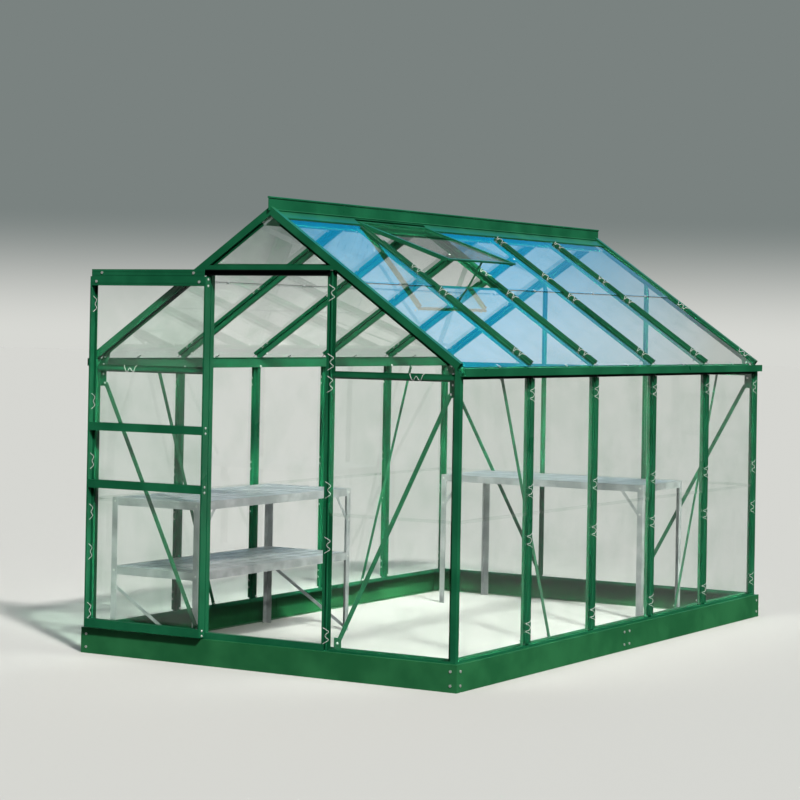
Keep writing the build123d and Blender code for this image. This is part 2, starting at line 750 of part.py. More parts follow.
def vent():
    """Top-hung vent in the second bay, propped open on its stay."""
    clear = rib_head / 2 + vent_clearance
    start, end = bar_lines[vent_bay - 1] + clear, bar_lines[vent_bay] - clear
    angle = math.radians(roof_pitch - vent_open)
    hinge_z = roof_z(hinge_x, glass_thickness) + hinge_up
    plane = wall_plane((hinge_x, 0, hinge_z), (0, 1, 0), (math.sin(angle), 0, math.cos(angle)))
    foot = -vent_length
    frame = block(start, foot, -vent_depth, end, 0, 0)
    frame -= block(start + vent_stile, foot + vent_foot, -vent_depth, end - vent_stile, -vent_stile, 0)
    frame -= block(start, foot, -vent_depth, end, foot + vent_foot, -vent_foot_depth)
    edge, glass_top = vent_stile - vent_bite, -vent_glass_down + glass_thickness
    glass = block(start + edge, foot + vent_foot - vent_bite, -vent_glass_down, end - edge, -edge, glass_top)
    frame = plane * (frame - glass)
    slope_plane = wall_plane(roof_point(0, 0), (0, 1, 0), roof_out)
    half = bar_width / 2 + run_gap
    for y in bar_lines[vent_bay - 1:vent_bay + 1]:
        frame -= slope_plane * block(y - half, -foot_distance, -2 * bar_depth, y + half, 0, run_gap)
    save("vent_frame", frame)
    save("vent_glass", plane * glass)

    section = strip(-vent_sill_leg, -wall, 0, 0) + strip(-wall, -vent_sill_leg, 0, 0)
    edge = vent_sill_distance
    clear = bar_width / 2 + run_gap
    left, right = bar_lines[vent_bay - 1] + clear, bar_lines[vent_bay] - clear
    save("vent_sill", run(section, roof_point(edge, right), roof_point(edge, left), roof_out))

    middle = (start + end) / 2
    top = (plane * Pos(middle, foot + vent_foot / 2, -vent_foot_depth)).position
    rest = Vector(*roof_point(edge - run_gap, middle, -vent_sill_leg))
    way = (rest - top).normalized()
    begin = top - way * vent_depth
    tail = top + way * stay_length
    flat = strip(-stay_width / 2, -brace_thickness, stay_width / 2, 0)
    stay = run(flat, tuple(begin), tuple(tail), tuple(way.cross(Vector(0, 1, 0))))
    stay -= plane * block(start, -2 * vent_length, -vent_foot_depth, end, vent_length, 2 * vent_depth)
    save("vent_stay", stay)


# Sliding door


door_left = -door_open_offset - door_width / 2
door_right = door_left + door_width
top_rail_foot = top_rail_top - top_rail_height


def stile_section():
    """Door stile: hollow outer wall and the shelf behind the glass; u runs towards the glass."""
    side = strip(0, -door_depth, stile_width, 0)
    side -= strip(stile_wall, stile_wall - door_depth, stile_width - stile_wall, -stile_wall)
    seat = -door_glass_inset - glass_thickness
    return side + strip(stile_width - stile_wall, seat - wall, stile_shelf, seat)


def door_rail(foot, top, web_at, back_top, grooves=()):
    """Cross rail: grooved front plate between the stiles, web, and a plate behind the glass."""
    x0, x1 = door_left + stile_width, door_right - stile_width
    inner0, inner1 = door_left + stile_shelf + run_gap, door_right - stile_shelf - run_gap
    rail = block(x0, door_front, foot, x1, door_front + rail_plate, top)
    for z in grooves:
        rail -= block(x0, door_front, z, x1, door_front + groove, z + wall)
    rail += block(x0, door_front, top - wall, x1, door_front + 2 * rail_plate, top)
    rail += block(x0, door_front, foot, x1, door_front + 2 * rail_plate, foot + wall)
    rail += block(x0, door_front, web_at - wall / 2, x1, door_glass_back, web_at + wall / 2)
    rail += block(inner0, door_front, web_at - wall / 2, inner1, door_glass_back + wall, web_at + wall / 2)
    return rail + block(inner0, door_glass_back, foot, inner1, door_glass_back + wall, back_top)


def door():
    """Framed glass door on two wheels, hanging open beside the doorway."""
    ends = (door_left, door_front, door_foot), (door_left, door_front, door_stile_top)
    left = run(stile_section(), *ends, (0, -1, 0))
    middle = Plane.YZ.offset((door_left + door_right) / 2)
    save("door_stiles", left, mirror(left, about=middle))

    top_web = top_rail_foot + mid_rail_height / 2
    marks = [top_rail_foot + share * top_rail_height for share in top_rail_grooves]
    back = top_rail_foot + mid_rail_height
    save("door_top_rail", door_rail(top_rail_foot, top_rail_top, top_web, back, marks))
    spans = [(top - mid_rail_height, top) for top in mid_rail_tops]
    spans.append((door_foot, door_foot + foot_rail_height))
    webs = [(foot + top) / 2 for foot, top in spans]
    save("door_rails", *[door_rail(foot, top, web, top) for (foot, top), web in zip(spans, webs)])

    gap = wall / 2 + glass_edge_gap
    edge = stile_width + glass_edge_gap
    lows, highs = [web + gap for web in webs], [web - gap for web in (top_web, webs[0], webs[1])]
    panes = []
    for low, high in zip(lows, highs):
        front = door_glass_back - glass_thickness
        panes.append(block(door_left + edge, front, low, door_right - edge, door_glass_back, high))
    save("door_glass", *panes)

    wheel_z = track_foot + wall + run_gap + wheel_radius
    axle_x = door_left + wheel_inset
    forward = Plane(origin=(0, 0, 0), x_dir=(1, 0, 0), z_dir=(0, -1, 0))
    low = (Align.CENTER, Align.CENTER, Align.MIN)
    head = forward * Cylinder(bolt_head_radius, bolt_head_height, align=low)
    bolts = [Pos(axle_x, door_front, wheel_z) * head]
    bolts.append(Pos(door_left + end_bolt_inset, door_front, top_rail_foot + mid_rail_height / 2) * head)
    save("door_bolts", *bolts, *[mirror(bolt, about=middle) for bolt in bolts])
    wheel_back = (wheel_width - track_depth) / 2
    wheel = Pos(axle_x, wheel_back, wheel_z) * (forward * Cylinder(wheel_radius, wheel_width, align=low))
    axle = forward * Cylinder(axle_radius, wheel_back - door_front - rail_plate, align=low)
    wheel += Pos(axle_x, wheel_back, wheel_z) * axle
    save("door_wheels", wheel, mirror(wheel, about=middle))


def track():
    """Door track on the gable's face, carried at its far end by a strip from the corner post."""
    foot, top, deep = track_foot, track_top, track_depth
    section = strip(foot, 0, top, wall) + strip(top - wall, 0, top, deep) + strip(foot, 0, foot + wall, deep)
    section += strip(top - wall - track_lip, deep - wall, top, deep)
    section += strip(foot, deep - wall, foot + wall + track_lip, deep)
    save("door_track", run(section, (track_right, 0, 0), (track_left, 0, 0), (0, -1, 0)))
    x0 = track_left - track_stay_out
    save("track_stay", block(x0, -wall, track_stay_foot, x0 + track_stay_width, 0, foot - run_gap))


# Staging


def deck(x0, y0, x1, y1, top):
    """A slatted shelf with an apron all round; slats run along the longer way."""
    apron = block(x0, y0, top - staging_apron, x1, y1, top)
    apron -= block(x0 + wall, y0 + wall, top - staging_apron, x1 - wall, y1 - wall, top)
    along_y = (y1 - y0) > (x1 - x0)
    across0, across1 = (x0, x1) if along_y else (y0, y1)
    width = (across1 - across0 - 2 * wall - (slat_count + 1) * slat_gap) / slat_count
    result = apron
    for n in range(slat_count):
        low = across0 + wall + slat_gap + n * (width + slat_gap)
        if along_y:
            result += block(low, y0 + wall / 2, top - wall, low + width, y1 - wall / 2, top)
        else:
            result += block(x0 + wall / 2, low, top - wall, x1 - wall / 2, low + width, top)
    ends = (y0, y1) if along_y else (x0, x1)
    bearers, half = 3 if along_y else 1, staging_leg / 2
    for n in range(1, bearers + 1):
        at = ends[0] + (ends[1] - ends[0]) * n / (bearers + 1)
        if along_y:
            result += block(x0 + wall / 2, at - half, top - 2 * wall, x1 - wall / 2, at + half, top - wall)
        else:
            result += block(at - half, y0 + wall / 2, top - 2 * wall, at + half, y1 - wall / 2, top - wall)
    return result


def leg(x, y, way_x, way_y, top):
    """An angle leg whose outer corner is at x, y and whose flanges run along way_x and way_y."""
    post = block(x, y, 0, x + way_x * staging_leg, y + way_y * wall, top)
    return post + block(x, y, 0, x + way_x * wall, y + way_y * staging_leg, top)


def strut(x, y, start, end, out):
    """Flat diagonal strip inside the leg flange at x, y; start and end are distances along it and heights."""
    along = Vector(-out[1], out[0], 0)
    corner = Vector(x, y, 0) - Vector(*out) * wall
    ends = [corner + along * distance + Vector(0, 0, z) for distance, z in (start, end)]
    return run(strip(-knee_width / 2, -wall, knee_width / 2, 0), tuple(ends[0]), tuple(ends[1]), out)


def knees(x, y, length, out):
    """The two knee braces of one long side, from its legs up to the edge of its apron."""
    edge = staging_height - staging_apron
    near, far = staging_leg / 2, staging_leg / 2 + knee_brace
    pair = [strut(x, y, (near, edge - knee_brace), (far, staging_height), out)]
    pair.append(strut(x, y, (length - near, edge - knee_brace), (length - far, staging_height), out))
    apron = block(-house_width, 0, edge, house_width, house_length, staging_height + knee_brace)
    return [piece - apron for piece in pair]


def staging():
    """Slatted aluminium staging: two tiers along the left wall and one across the rear."""
    left = -(seat_x - bar_depth - wall) + brace_thickness + staging_clearance
    right = left + staging_depth
    start, end = staging_left_start, staging_left_start + staging_left_length
    inset = wall
    top = deck(left + inset, start + inset, right - inset, end - inset, staging_height)
    shelf = deck(left + inset, start + inset, right - inset, end - inset, staging_shelf_height)
    rear_y1 = house_length - sill_inner - staging_clearance
    rear_y0 = rear_y1 - staging_depth
    rear_x0, rear_x1 = staging_rear_left, staging_rear_left + staging_rear_length
    rear = deck(rear_x0 + inset, rear_y0 + inset, rear_x1 - inset, rear_y1 - inset, staging_height)
    save("staging_decks", top, shelf, rear)

    ends = (staging_leg / 2, tie_height), (staging_depth - staging_leg / 2, staging_leg / 2)
    tie = strut(left, start, *ends, (0, -1, 0))
    ties = [tie, Pos(0, staging_left_length - 3 * wall, 0) * tie]
    front = knees(right, start, staging_left_length, (1, 0, 0))
    save("staging_braces", *ties, *front, *knees(rear_x0, rear_y0, staging_rear_length, (0, -1, 0)))

    legs = []
    for x, way in ((left, 1), (right, -1)):
        legs.append(leg(x, start, way, 1, staging_height))
        legs.append(leg(x, end, way, -1, staging_height))
    for x, way in ((rear_x0, 1), (rear_x1, -1)):
        legs.append(leg(x, rear_y0, way, 1, staging_height))
        legs.append(leg(x, rear_y1, way, -1, staging_height))
    save("staging_legs", *legs)


os.makedirs("parts", exist_ok=True)
plinth()
sills()
posts()
side_walls()
gables()
braces()
joint_plates()
ridge()
roof_bars()
side_glass()
roof_glass()
gable_glass()
vent()
door()
track()
staging()
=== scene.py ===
"""Looks of a small glass greenhouse: powder-coated aluminium, clear glass, wire clips, bolts and staging.

New pieces are worked out in mm, with x across the gables, y = 0 at the outer faces of the front posts
and z up from the ground. piece() turns them to the metres of the frame.
"""

import json
import math

import bpy
import numpy as np
from mathutils import Matrix, Vector


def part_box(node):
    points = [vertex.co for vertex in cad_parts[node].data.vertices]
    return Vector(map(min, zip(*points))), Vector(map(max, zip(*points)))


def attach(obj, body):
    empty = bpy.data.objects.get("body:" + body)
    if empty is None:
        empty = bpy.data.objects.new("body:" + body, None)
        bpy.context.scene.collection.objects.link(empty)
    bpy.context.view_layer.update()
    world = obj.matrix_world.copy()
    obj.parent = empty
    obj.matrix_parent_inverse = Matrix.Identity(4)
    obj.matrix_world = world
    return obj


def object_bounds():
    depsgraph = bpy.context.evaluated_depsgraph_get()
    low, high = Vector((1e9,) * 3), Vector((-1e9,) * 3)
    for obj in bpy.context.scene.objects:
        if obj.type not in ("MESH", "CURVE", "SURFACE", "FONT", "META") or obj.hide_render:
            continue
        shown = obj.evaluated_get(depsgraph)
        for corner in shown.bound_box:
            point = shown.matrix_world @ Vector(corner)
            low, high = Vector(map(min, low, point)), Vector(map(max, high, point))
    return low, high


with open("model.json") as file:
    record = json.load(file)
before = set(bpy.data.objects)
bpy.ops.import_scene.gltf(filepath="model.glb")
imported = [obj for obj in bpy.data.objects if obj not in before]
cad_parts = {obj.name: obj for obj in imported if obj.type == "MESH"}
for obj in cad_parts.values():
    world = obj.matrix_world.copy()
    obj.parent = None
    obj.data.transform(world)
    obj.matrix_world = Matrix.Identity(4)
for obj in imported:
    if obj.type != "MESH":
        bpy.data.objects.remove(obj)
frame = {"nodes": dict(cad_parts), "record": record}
BOX = [list(corner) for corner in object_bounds()]

MM = 0.001
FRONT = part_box("corner_posts")[0][1]
PHOTO_PIXELS = 800
SENSOR = 36.0

# Fitted to the bars in the photograph: place in mm, angles in degrees, and the pixel that the axis meets
CAMERA = {
    "place": (5675.3, -8207.9, 1496.2),
    "azimuth": 30.39,
    "tilt_up": 0.71,
    "roll": 1.01,
    "focal_pixels": 2296.8,
    "axis_pixel": (440, 300),
}

# Studio: bands of height, and the edge of the patch of sky as cosines, on a sphere of radius 1
HORIZON, LID, SCREEN = (-0.006, 0.05), (0.2, 0.7), (0.15, 0.75)
SKY_PATCH, SKY_EDGE = (-0.30, 0.75, 0.59), (0.950, 0.976)
SKY_BLUE = (0.02, 0.66, 1.25, 1.0)
BOUNCED_STRENGTH = 0.4
KEY_FROM, KEY_STRENGTH, KEY_SPREAD = (0.62, -0.44, 0.65), 4.3, 5.0
FLOOR_REACH = 90.0


def linear(hex_code):
    """sRGB hex to linear red, green and blue, with alpha 1."""
    channels = np.array([int(hex_code[i:i + 2], 16) for i in (1, 3, 5)]) / 255
    low, high = channels / 12.92, ((channels + 0.055) / 1.055) ** 2.4
    return (*np.where(channels <= 0.04045, low, high), 1.0)


def node(tree, kind, settings=None, **links):
    """Adds a shader node with its settings, and sets or links its inputs.

    An input is named with underscores for spaces, or by i and its number, and takes a socket or a value.
    """
    made = tree.nodes.new(kind)
    for key, value in (settings or {}).items():
        setattr(made, key, value)
    for key, value in links.items():
        numbered = key[0] == "i" and key[1:].isdigit()
        socket = made.inputs[int(key[1:]) if numbered else key.replace("_", " ")]
        if isinstance(value, bpy.types.NodeSocket):
            tree.links.new(value, socket)
        else:
            socket.default_value = value
    return made


def material(name):
    """A new material with an empty tree and its output node."""
    made = bpy.data.materials.new(name)
    made.use_nodes = True
    made.node_tree.nodes.clear()
    return made, made.node_tree, node(made.node_tree, "ShaderNodeOutputMaterial")


def object_noise(tree, size_mm, detail=2.0, stretch=(1, 1, 1)):
    """Noise on Object coordinates whose lumps are about size_mm across."""
    place = node(tree, "ShaderNodeTexCoord").outputs["Object"]
    scaled = node(tree, "ShaderNodeMapping", i0=place, Scale=stretch).outputs[0]
    noise = node(tree, "ShaderNodeTexNoise", Vector=scaled, Scale=1 / (size_mm * MM), Detail=detail)
    return noise.outputs["Fac"]


def ramp(tree, value, low, high, first, second):
    """Blends two colours as value goes from low to high."""
    share = node(tree, "ShaderNodeMapRange", {"interpolation_type": "SMOOTHSTEP"},
                 Value=value, From_Min=low, From_Max=high).outputs[0]
    return node(tree, "ShaderNodeMix", {"data_type": "RGBA"},
                i0=share, i6=linear(first), i7=linear(second)).outputs[2]


# A noise's value lies mostly between these two, so a colour that blends between them has few flat places
BLEND = (0.35, 0.7)


def powder_coat(name, dark, light, roughness):
    """Polyester powder baked on metal: colour and roughness follow broad weathering, bump fine orange peel."""
    weather_mm, peel_mm, peel_height = 180, 2.2, 0.2
    smoother, rougher = 0.05, 0.08
    made, tree, out = material(name)
    weather = object_noise(tree, weather_mm, detail=3.0)
    peel = object_noise(tree, peel_mm, detail=1.0)
    colour = ramp(tree, weather, *BLEND, dark, light)
    rough = node(tree, "ShaderNodeMapRange", Value=weather, From_Min=0.3, From_Max=0.7,
                 To_Min=roughness - smoother, To_Max=roughness + rougher).outputs[0]
    bump = node(tree, "ShaderNodeBump", Height=peel, Strength=0.12, Distance=peel_height * MM).outputs[0]
    shader = node(tree, "ShaderNodeBsdfPrincipled", Base_Color=colour, Roughness=rough, Normal=bump,
                  IOR=1.5, Specular_IOR_Level=0.25)
    tree.links.new(shader.outputs[0], out.inputs[0])
    return made


def horticultural_glass(name):
    """Float glass: roughness follows a thin film of dust, bump its faint waves, and the body absorbs to green.

    The index is under the 1.52 of glass, because both faces of a pane mirror the pale studio.
    """
    film_mm, wave_mm, wave_height = 240, 160, 0.5
    made, tree, out = material(name)
    film = object_noise(tree, film_mm, detail=4.0)
    wave = object_noise(tree, wave_mm, detail=1.0)
    colour = ramp(tree, film, 0.4, 0.75, "#FBFDFC", "#F1F6F3")
    rough = node(tree, "ShaderNodeMapRange", Value=film, From_Min=0.45, From_Max=0.8,
                 To_Min=0.0, To_Max=0.02).outputs[0]
    bump = node(tree, "ShaderNodeBump", Height=wave, Strength=0.05, Distance=wave_height * MM).outputs[0]
    pane = node(tree, "ShaderNodeBsdfPrincipled", Base_Color=colour, Roughness=rough, Normal=bump,
                IOR=1.32, Transmission_Weight=1.0)
    clear = node(tree, "ShaderNodeBsdfTransparent", Color=linear("#F6FAF8"))
    shadow = node(tree, "ShaderNodeLightPath").outputs["Is Shadow Ray"]
    mixed = node(tree, "ShaderNodeMixShader", i0=shadow, i1=pane.outputs[0], i2=clear.outputs[0])
    tree.links.new(mixed.outputs[0], out.inputs[0])
    body = node(tree, "ShaderNodeVolumeAbsorption", Color=linear("#A8D8BE"), Density=8.0)
    tree.links.new(body.outputs[0], out.inputs[1])
    return made


def bare_metal(name, dark, light, roughness, metallic):
    """Drawn or plated metal under its oxide: roughness and bump follow lines along y, colour soft blotches.

    Such lines are 0.1 to 0.3 mm apart, too fine to show, so they are drawn 1.6 mm apart.
    """
    line_mm, line_height, blotch_mm, along_y = 1.6, 0.1, 90, (1, 0.02, 1)
    smoother, rougher = 0.08, 0.1
    made, tree, out = material(name)
    lines = object_noise(tree, line_mm, stretch=along_y)
    blotch = object_noise(tree, blotch_mm)
    colour = ramp(tree, blotch, *BLEND, dark, light)
    rough = node(tree, "ShaderNodeMapRange", Value=lines, From_Min=0.3, From_Max=0.7,
                 To_Min=roughness - smoother, To_Max=roughness + rougher).outputs[0]
    bump = node(tree, "ShaderNodeBump", Height=lines, Strength=0.15, Distance=line_height * MM).outputs[0]
    shader = node(tree, "ShaderNodeBsdfPrincipled", Base_Color=colour, Roughness=rough, Normal=bump,
                  Metallic=metallic)
    tree.links.new(shader.outputs[0], out.inputs[0])
    return made


def moulded(name, dark, light, roughness):
    """Moulded plastic or painted shadow: colour follows faint clouds, bump the grain that the mould leaves.

    That grain is about 0.1 mm, too fine to show, so it is drawn at 0.8 mm.
    """
    cloud_mm, grain_mm, grain_height = 12, 0.8, 0.1
    made, tree, out = material(name)
    cloud = object_noise(tree, cloud_mm)
    colour = ramp(tree, cloud, *BLEND, dark, light)
    grain = object_noise(tree, grain_mm, detail=1.0)
    bump = node(tree, "ShaderNodeBump", Height=grain, Strength=0.1, Distance=grain_height * MM).outputs[0]
    shader = node(tree, "ShaderNodeBsdfPrincipled", Base_Color=colour, Roughness=roughness, Normal=bump,
                  IOR=1.52)
    tree.links.new(shader.outputs[0], out.inputs[0])
    return made


# Extruded aluminium bars, powder coated: deep green with a satin sheen that runs along their edges
green = powder_coat("powder_coated_aluminium_green", "#12593A", "#1A6845", 0.32)
# Folded steel of the plinth, powder coated: a yellower, slightly chalky green with a broader sheen
steel_green = powder_coat("powder_coated_steel_green", "#1F6039", "#2A7044", 0.38)
# Door track, powder coated: near black, painted shade of its channel, with a dull line of light on its lip
track_painted_shade = powder_coat("track_black_painted_shade", "#050606", "#090A0A", 0.36)
# Float glass, polished, 3 mm: clear when looked through, green at its cut edges, a mirror of sky on the roof
glass = horticultural_glass("float_glass")
# Extruded aluminium of the staging, left as it came from the mill: dull silver grey with fine lines
silver = bare_metal("mill_aluminium", "#A9AEAF", "#C6CACB", 0.42, 0.55)
# Steel bolts and nuts, zinc plated: small pale points that glint
zinc = bare_metal("zinc_plated_steel", "#D4D6D3", "#ECEDEA", 0.32, 0.6)
# Stainless spring wire, drawn: thin lines that read nearly white against the green, so little metallic weight
spring_wire = bare_metal("stainless_spring_wire", "#F0F1EE", "#FAFAF7", 0.28, 0.15)
# Nylon of the door's wheels, moulded: off-white and matt
white_nylon = moulded("moulded_nylon", "#C9C9C1", "#D8D8D0", 0.5)
# Moulded, black and matt: painted shadow of the gutter on the tops of the side panes
painted_shadow_finish = moulded("painted_shadow_black", "#070808", "#0C0D0D", 0.7)

FINISH = {
    "green_frame": green,
    "green_plinth": steel_green,
    "black_track": track_painted_shade,
    "glass": glass,
    "staging": silver,
    "fixings": zinc,
    "wheel_nylon": white_nylon,
}
for part in frame["record"]["subparts"]:
    for slot in frame["nodes"][part["node"]].material_slots:
        slot.material = FINISH[part["material_slot"]]


# Sizes of the solids that the pieces sit on. A glass seat is the plane that the backs of the panes lie on. It is
# SEAT_DEPTH behind the outer faces of the posts, and at a lap the upper pane stands LAP_LIFT off it

HOUSE_LENGTH = 3170.0
SILL_TOP, EAVES = 117.0, 1299.0
SEAT_DEPTH = 14.0
SEAT_X, REAR_SEAT_Y = 951.0, HOUSE_LENGTH - SEAT_DEPTH
GLASS = 3.0
LAP_LIFT = 3.3
BAR_LINES = np.array([643.0, 1271.0, 1899.0, 2527.0])
BAY_MIDDLES = np.array([336.0, 957.0, 1585.0, 2213.0, 2834.0])
VENT_BAY = 1
REAR_BAR_X, STUD_X = 311.0, 324.0
RIB_HEAD, BAR_DEPTH = 10.0, 28.0
STRIP_DEPTH = 9.0
PLATE_FRONT, PLATE_BACK = 26.0, 28.0
ROOF_APEX, SEAT_APEX, SLOPE, RISE, LEAN = 2013.77, 1996.8, 0.6847, 0.8251, 0.5650
ROOF_EDGE, ROOF_PANE, PANE_LAP = 1170.0, 622.0, 12.0
VENT_HINGE, VENT_LENGTH, VENT_TURN = (28.0, 1998.5), 530.0, math.radians(19.2)
DOOR_LEFT, DOOR_RIGHT, DOOR_GLASS = -947.0, -303.7, -19.0
STAGE_LEFT, STAGE_RIGHT, STAGE_START, STAGE_END = -917.7, -427.7, 110.0, 1360.0
REAR_STAGE_X0, REAR_STAGE_X1, REAR_STAGE_Y = -655.0, 555.0, 2635.7
X, Y, Z = np.eye(3)
SLOPE_UP = np.array([-RISE, 0.0, LEAN])
SLOPE_OUT = np.array([LEAN, 0.0, RISE])


def tube_faces(rings, sides):
    """Faces of a stack of rings, closed at each end on one point: that point, the rings, the other point."""
    here = np.arange(sides)
    after = (here + 1) % sides
    base = 1 + np.arange(rings - 1)[:, None] * sides
    walls = np.stack([base + here, base + after, base + sides + after, base + sides + here], -1)
    walls = walls.reshape(-1, 4)
    last = 1 + (rings - 1) * sides
    foot = np.stack([np.zeros_like(here), 1 + after, 1 + here], -1)
    head = np.stack([last + here, last + after, np.full_like(here, last + sides)], -1)
    return walls, np.concatenate([foot, head])


def turned(profile, sides):
    """A profile of (radius, height) turned about the z axis: a point is (r cos a, r sin a, h)."""
    profile = np.array(profile, float)
    turn = 2 * math.pi * np.arange(sides) / sides
    ring = np.stack([np.cos(turn), np.sin(turn)], -1)
    inner = profile[1:-1]
    heights = np.broadcast_to(inner[:, None, 1:], (len(inner), sides, 1))
    walls = np.concatenate([inner[:, None, :1] * ring, heights], -1)
    ends = np.array([[0, 0, profile[0, 1]], [0, 0, profile[-1, 1]]])
    points = np.concatenate([ends[:1], walls.reshape(-1, 3), ends[1:]])
    return points, tube_faces(len(inner), sides)


def rows(origins, along, out):
    """Places for copies: an origin, the way along and the way out for each, as one array."""
    origins = np.atleast_2d(np.array(origins, float))
    ways = [np.broadcast_to(way, origins.shape) for way in (along, out)]
    return np.stack([origins, *ways], 1)


def placed(points, places):
    """Copies of local points: origin + x along + y across + z out for each place, with across = out x along."""
    origin, along, out = (places[:, i][:, None] for i in range(3))
    across = np.cross(out, along)
    return origin + points[..., 0:1] * along + points[..., 1:2] * across + points[..., 2:3] * out


def carried(paths, section, face):
    """A closed section carried along paths: a point is path + u side + v up, with side = face x tangent and
    up = tangent x side."""
    along = np.gradient(paths, axis=1)
    along /= np.linalg.norm(along, axis=2, keepdims=True)
    side = np.cross(face[:, None], along)
    side /= np.linalg.norm(side, axis=2, keepdims=True)
    up = np.cross(along, side)
    rings = paths[:, :, None] + section[:, :1] * side[:, :, None] + section[:, 1:] * up[:, :, None]
    count, steps = paths.shape[:2]
    points = np.concatenate([paths[:, :1], rings.reshape(count, -1, 3), paths[:, -1:]], 1)
    return points, tube_faces(steps, len(section))


def flat_section(half_width, half_thickness):
    """Rectangle for a strip or a plate, from minus to plus half its width and half its thickness."""
    return np.array([[-1, -1], [1, -1], [1, 1], [-1, 1]]) * [half_width, half_thickness]


def both_sides(places):
    """The places and their mirror images in the middle plane of the house."""
    return np.concatenate([places, places * np.array([-1, 1, 1])])


def both_gables(places):
    """The places and their mirror images at the other gable."""
    far = places * np.array([1, -1, 1])
    far[:, 0, 1] += HOUSE_LENGTH
    return np.concatenate([places, far])


def slope_point(distance, y, out=0.0):
    """Point of the right slope's glass seat at a distance down from the apex, or the given way out from it."""
    return np.array([0, y, SEAT_APEX]) - distance * SLOPE_UP + out * SLOPE_OUT


def piece(name, body, finish, shapes, smooth=True):
    """One object from shapes of (points, (quads, triangles)), given in mm, that rides on a body."""
    points, faces, first = [], [], 0
    for copies, (quads, triangles) in shapes:
        copies = copies.reshape(-1, *copies.shape[-2:])
        starts = first + np.arange(len(copies))[:, None, None] * copies.shape[1]
        faces += (starts + quads).reshape(-1, 4).tolist() + (starts + triangles).reshape(-1, 3).tolist()
        points.append(copies.reshape(-1, 3))
        first += copies.shape[0] * copies.shape[1]
    mesh = bpy.data.meshes.new(name)
    mesh.from_pydata((np.concatenate(points) * MM + np.array([0, FRONT, 0])).tolist(), [], faces)
    mesh.polygons.foreach_set("use_smooth", np.full(len(mesh.polygons), smooth))
    mesh.materials.append(finish)
    made = bpy.data.objects.new(name, mesh)
    bpy.context.collection.objects.link(made)
    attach(made, body)
    return made


# Outer channel of the glazing bars: two beaded walls, which the clips bear on, and a floor on the rib.
# The walls stand clear of the lifted upper panes, and over the lower panes a lip closes the space below them

WALL_TOP, WALL_OUT, WALL_HALF, BEAD = 15.5, 8.5, 0.8, 1.0
FLOOR_MIDDLE, FLOOR_HALF = RIB_HEAD + 0.75, 0.7
LIP_GAP = 0.3
LIP_FOOT, LIP_HEAD = GLASS + LIP_GAP, GLASS + LAP_LIFT + LIP_GAP
BEAD_PROFILE = [[0.8, -1.0], [1.5, -0.6], [1.5, 0.6], [0.9, BEAD]]
WALL_FOOT = LIP_HEAD - WALL_TOP + BEAD
WALL_SECTION = np.array([
    [-WALL_HALF, WALL_FOOT], [WALL_HALF, WALL_FOOT],
    *BEAD_PROFILE, *[[-u, v] for u, v in BEAD_PROFILE[::-1]],
])
LIP_RISE = LIP_HEAD - LIP_FOOT
LIP_SECTION = flat_section(WALL_HALF, LIP_RISE / 2) + [0.0, LIP_RISE / 2]
BAR_FOOT, BAR_TOP, REAR_BAR_TOP, WALL_LAP = 132.0, 1285.0, 1725.0, 689.0
SLOPE_HEAD, SLOPE_VENT, SLOPE_FOOT, SLOPE_LAP = 77.0, 205.0, 1150.0, 561.0
FLOOR_BY_VENT = 3.0


def channels(places, lengths, lip_length=0.0, walls=(-WALL_OUT, WALL_OUT), floor=(-WALL_OUT, WALL_OUT)):
    """Channels that start at the places: each wall, lip and floor is a section carried along the line from
    (0, -across, height) to (length, -across, height)."""
    half_floor = (floor[1] - floor[0]) / 2 - WALL_HALF
    runs = [(across, WALL_TOP - BEAD, WALL_SECTION, lengths) for across in walls]
    runs.append(((floor[0] + floor[1]) / 2, FLOOR_MIDDLE, flat_section(half_floor, FLOOR_HALF), lengths))
    if lip_length:
        runs += [(across, LIP_FOOT, LIP_SECTION, lip_length) for across in walls]
    shapes = []
    for across, height, section, length in runs:
        ends = np.array([[0.0, -across, height], [1.0, -across, height]]) * np.ones((len(places), 2, 3))
        ends[:, 1, 0] = length
        shapes.append(carried(placed(ends, places), section, places[:, 2]))
    return shapes


def beside_vent(places):
    """Which places lie on the right slope, on one of the two bars beside the vent."""
    return (places[:, 0, 0] > 0) & (places[:, 0, 1] < 0.5 * HOUSE_LENGTH)


wall_starts = both_sides(rows([[SEAT_X, y, BAR_FOOT] for y in BAR_LINES], Z, X))
slope_starts = both_sides(rows([slope_point(SLOPE_FOOT, y) for y in BAR_LINES], SLOPE_UP, SLOPE_OUT))
slope_lengths = SLOPE_FOOT - np.where(beside_vent(slope_starts), SLOPE_VENT, SLOPE_HEAD)
rear_starts = both_sides(rows([[REAR_BAR_X, REAR_SEAT_Y, BAR_FOOT]], Z, Y))
channel_shapes = channels(wall_starts, BAR_TOP - BAR_FOOT, WALL_LAP - BAR_FOOT)
channel_shapes += channels(slope_starts, slope_lengths, SLOPE_FOOT - SLOPE_LAP)
channel_shapes += channels(rear_starts, REAR_BAR_TOP - BAR_FOOT, WALL_LAP - BAR_FOOT)
for y, away in ((BAR_LINES[0], -1), (BAR_LINES[1], 1)):
    start = rows([slope_point(SLOPE_VENT, y)], SLOPE_UP, SLOPE_OUT)
    floor_edges = sorted((away * WALL_OUT, -away * FLOOR_BY_VENT))
    channel_shapes += channels(start, SLOPE_VENT - SLOPE_HEAD, walls=(away * WALL_OUT,), floor=floor_edges)
piece("bar_channels", "house", green, channel_shapes, smooth=False)

# Wire glazing clips: a W of spring wire that passes over a bar's channel and presses on the glass beside it

